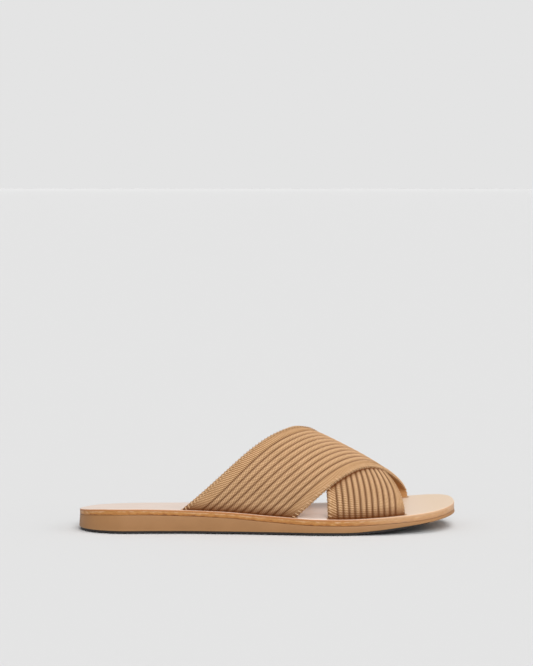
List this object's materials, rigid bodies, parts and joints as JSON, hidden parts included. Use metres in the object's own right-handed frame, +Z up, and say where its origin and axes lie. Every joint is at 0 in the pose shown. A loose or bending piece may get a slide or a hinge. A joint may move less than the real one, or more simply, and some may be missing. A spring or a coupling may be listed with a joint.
{
  "type": "cross strap sandal",
  "caption": "Flat slide sandal, right shoe: low wedge sole with leather midsole and pale insole, and broad ribbed knit straps crossing over the foot.",
  "frame": {"origin": "on the floor, in the middle of the sole's outline", "axes": "+X to the toe, +Y to the inner side of the foot, +Z up"},
  "size_m": [0.26, 0.0888, 0.0701],
  "materials": {
    "outsole_rubber": "satin tan rubber",
    "midsole_leather": "burnished orange-brown leather edge",
    "insole_leather": "pale smooth leather",
    "upper_knit": "ribbed knit, matt"
  },
  "bodies": {
    "root": {"outsole": "outsole_rubber", "midsole": "midsole_leather", "insole": "insole_leather", "upper": "upper_knit"}
  },
  "joints": []
}
